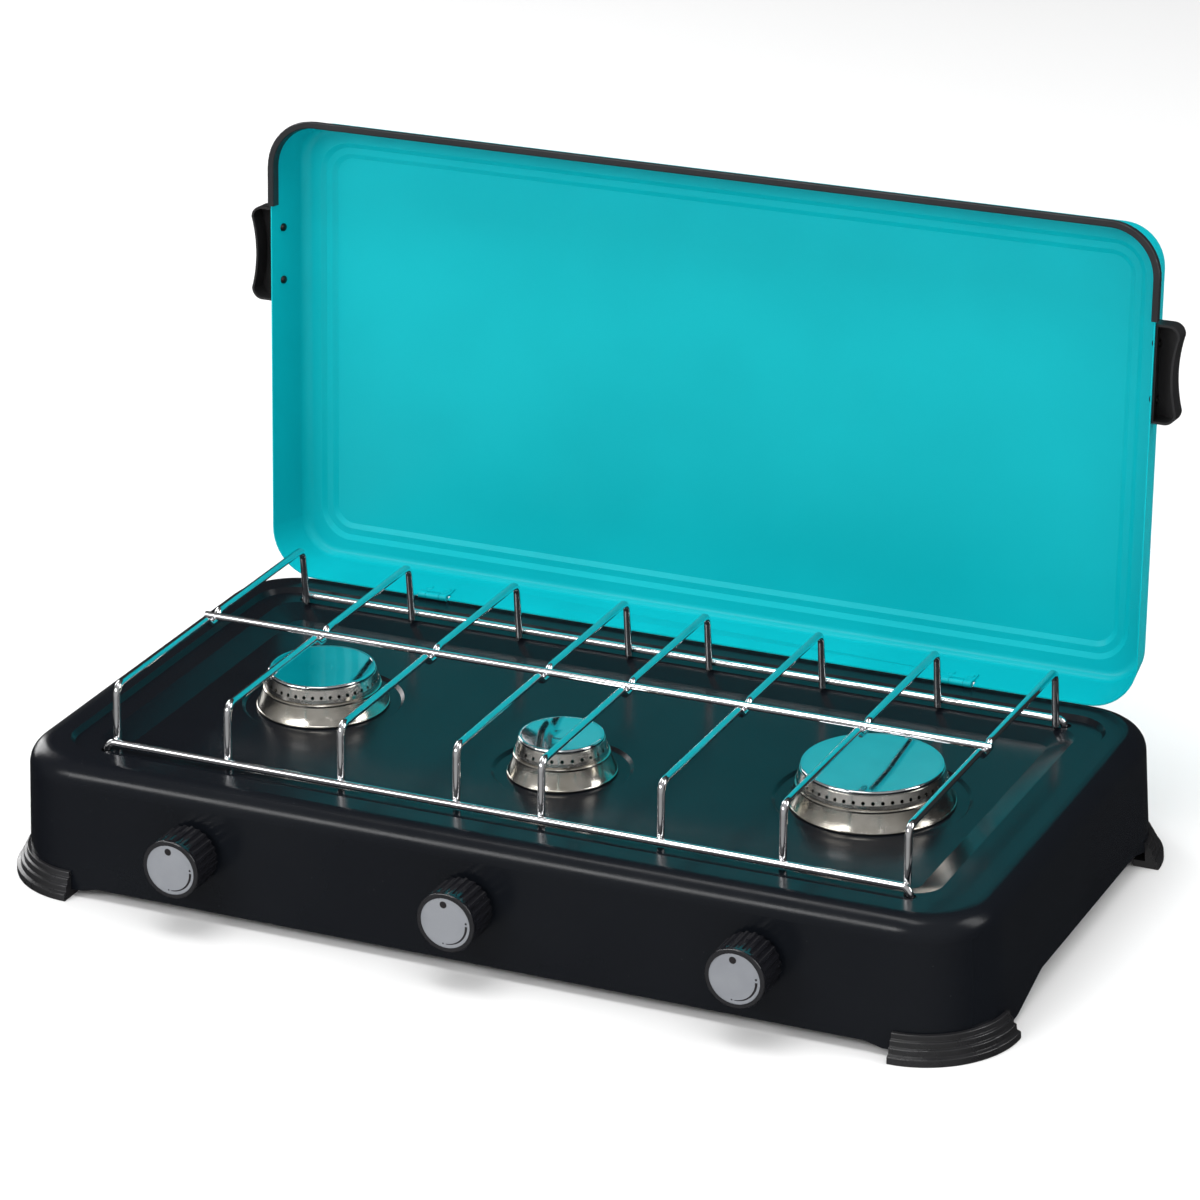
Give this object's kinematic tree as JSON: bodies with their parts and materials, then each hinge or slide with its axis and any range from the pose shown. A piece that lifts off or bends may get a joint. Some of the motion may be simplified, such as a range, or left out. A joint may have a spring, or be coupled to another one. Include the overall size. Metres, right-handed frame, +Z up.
{
  "type": "camping stove",
  "caption": "Low camping gas stove with a stepped hob, a welded wire pan support, burners in shallow dishes, push-and-turn front knobs and a deep hinged lid with side grips.",
  "frame": {"origin": "on the floor, under the middle of the open stove's bounding box", "axes": "+X along the front from left to right, +Y from the knobs to the lid and the gas inlet, +Z up"},
  "size_m": [0.71, 0.4414, 0.4249],
  "materials": {
    "housing_paint": "satin black paint",
    "lid_paint": "satin turquoise paint",
    "foot_plastic": "semi-gloss black",
    "grip_plastic": "matte black",
    "knob_plastic": "black, glossy rim",
    "knob_disc": "grey, fine satin",
    "trim_rubber": "matte dark grey",
    "burner_steel": "bright pressed steel",
    "burner_cap": "polished",
    "wire_chrome": "chromed wire",
    "plated_steel": "zinc plated",
    "pipe_steel": "drawn steel tube",
    "brass": "machined",
    "rivet_black": "black oxide"
  },
  "bodies": {
    "stove": {"housing": "housing_paint", "foot_front_left": "foot_plastic", "foot_front_right": "foot_plastic", "foot_rear_left": "foot_plastic", "foot_rear_right": "foot_plastic", "foot_screws": "plated_steel", "burner_skirt_left": "burner_steel", "flame_ring_left": "burner_steel", "burner_cap_left": "burner_cap", "burner_skirt_middle": "burner_steel", "flame_ring_middle": "burner_steel", "burner_cap_middle": "burner_cap", "burner_skirt_right": "burner_steel", "flame_ring_right": "burner_steel", "burner_cap_right": "burner_cap", "burner_nuts": "plated_steel", "gas_pipe": "pipe_steel", "gas_inlet": "brass", "inlet_nut": "brass", "gas_jets": "brass", "valve_clamps": "plated_steel", "valve_body_left": "brass", "mixing_tube_left": "pipe_steel", "valve_body_middle": "brass", "mixing_tube_middle": "pipe_steel", "valve_body_right": "brass", "mixing_tube_right": "pipe_steel", "cross_wire_1": "wire_chrome", "cross_wire_2": "wire_chrome", "cross_wire_3": "wire_chrome", "cross_wire_4": "wire_chrome", "cross_wire_5": "wire_chrome", "cross_wire_6": "wire_chrome", "cross_wire_7": "wire_chrome", "cross_wire_8": "wire_chrome", "front_rail": "wire_chrome", "rear_rail": "wire_chrome", "centre_rail": "wire_chrome", "hinge_brackets": "lid_paint", "hinge_pins": "plated_steel"},
    "lid": {"lid_shell": "lid_paint", "lid_hinge_leaves": "lid_paint", "leaf_rivets": "lid_paint", "lid_edge_trim": "trim_rubber", "grip_left": "grip_plastic", "grip_right": "grip_plastic", "grip_rivets": "rivet_black"},
    "tap_left": {"tap_collar_left": "plated_steel"},
    "knob_left": {"knob_left": "knob_plastic", "knob_disc_left": "knob_disc", "tap_spindle_left": "brass"},
    "tap_middle": {"tap_collar_middle": "plated_steel"},
    "knob_middle": {"knob_middle": "knob_plastic", "knob_disc_middle": "knob_disc", "tap_spindle_middle": "brass"},
    "tap_right": {"tap_collar_right": "plated_steel"},
    "knob_right": {"knob_right": "knob_plastic", "knob_disc_right": "knob_disc", "tap_spindle_right": "brass"}
  },
  "joints": [
    {"name": "lid_hinge", "type": "hinge", "parent": "stove", "child": "lid", "pos_m": [0, 0.156, 0.0947], "axis": [1, 0, 0], "range_deg": [0, 94.4]},
    {"name": "tap_push_left", "type": "slide", "parent": "stove", "child": "tap_left", "axis": [0, 1, 0], "range_m": [0, 0.0022], "stiffness_N_per_m": 800, "springref_m": -0.001},
    {"name": "knob_turn_left", "type": "hinge", "parent": "tap_left", "child": "knob_left", "pos_m": [-0.198, -0.2, 0.0485], "axis": [0, -1, 0], "range_deg": [0, 180]},
    {"name": "tap_push_middle", "type": "slide", "parent": "stove", "child": "tap_middle", "axis": [0, 1, 0], "range_m": [0, 0.0022], "stiffness_N_per_m": 800, "springref_m": -0.001},
    {"name": "knob_turn_middle", "type": "hinge", "parent": "tap_middle", "child": "knob_middle", "pos_m": [0, -0.2, 0.0485], "axis": [0, -1, 0], "range_deg": [0, 180]},
    {"name": "tap_push_right", "type": "slide", "parent": "stove", "child": "tap_right", "axis": [0, 1, 0], "range_m": [0, 0.0022], "stiffness_N_per_m": 800, "springref_m": -0.001},
    {"name": "knob_turn_right", "type": "hinge", "parent": "tap_right", "child": "knob_right", "pos_m": [0.198, -0.2, 0.0485], "axis": [0, -1, 0], "range_deg": [0, 180]}
  ]
}
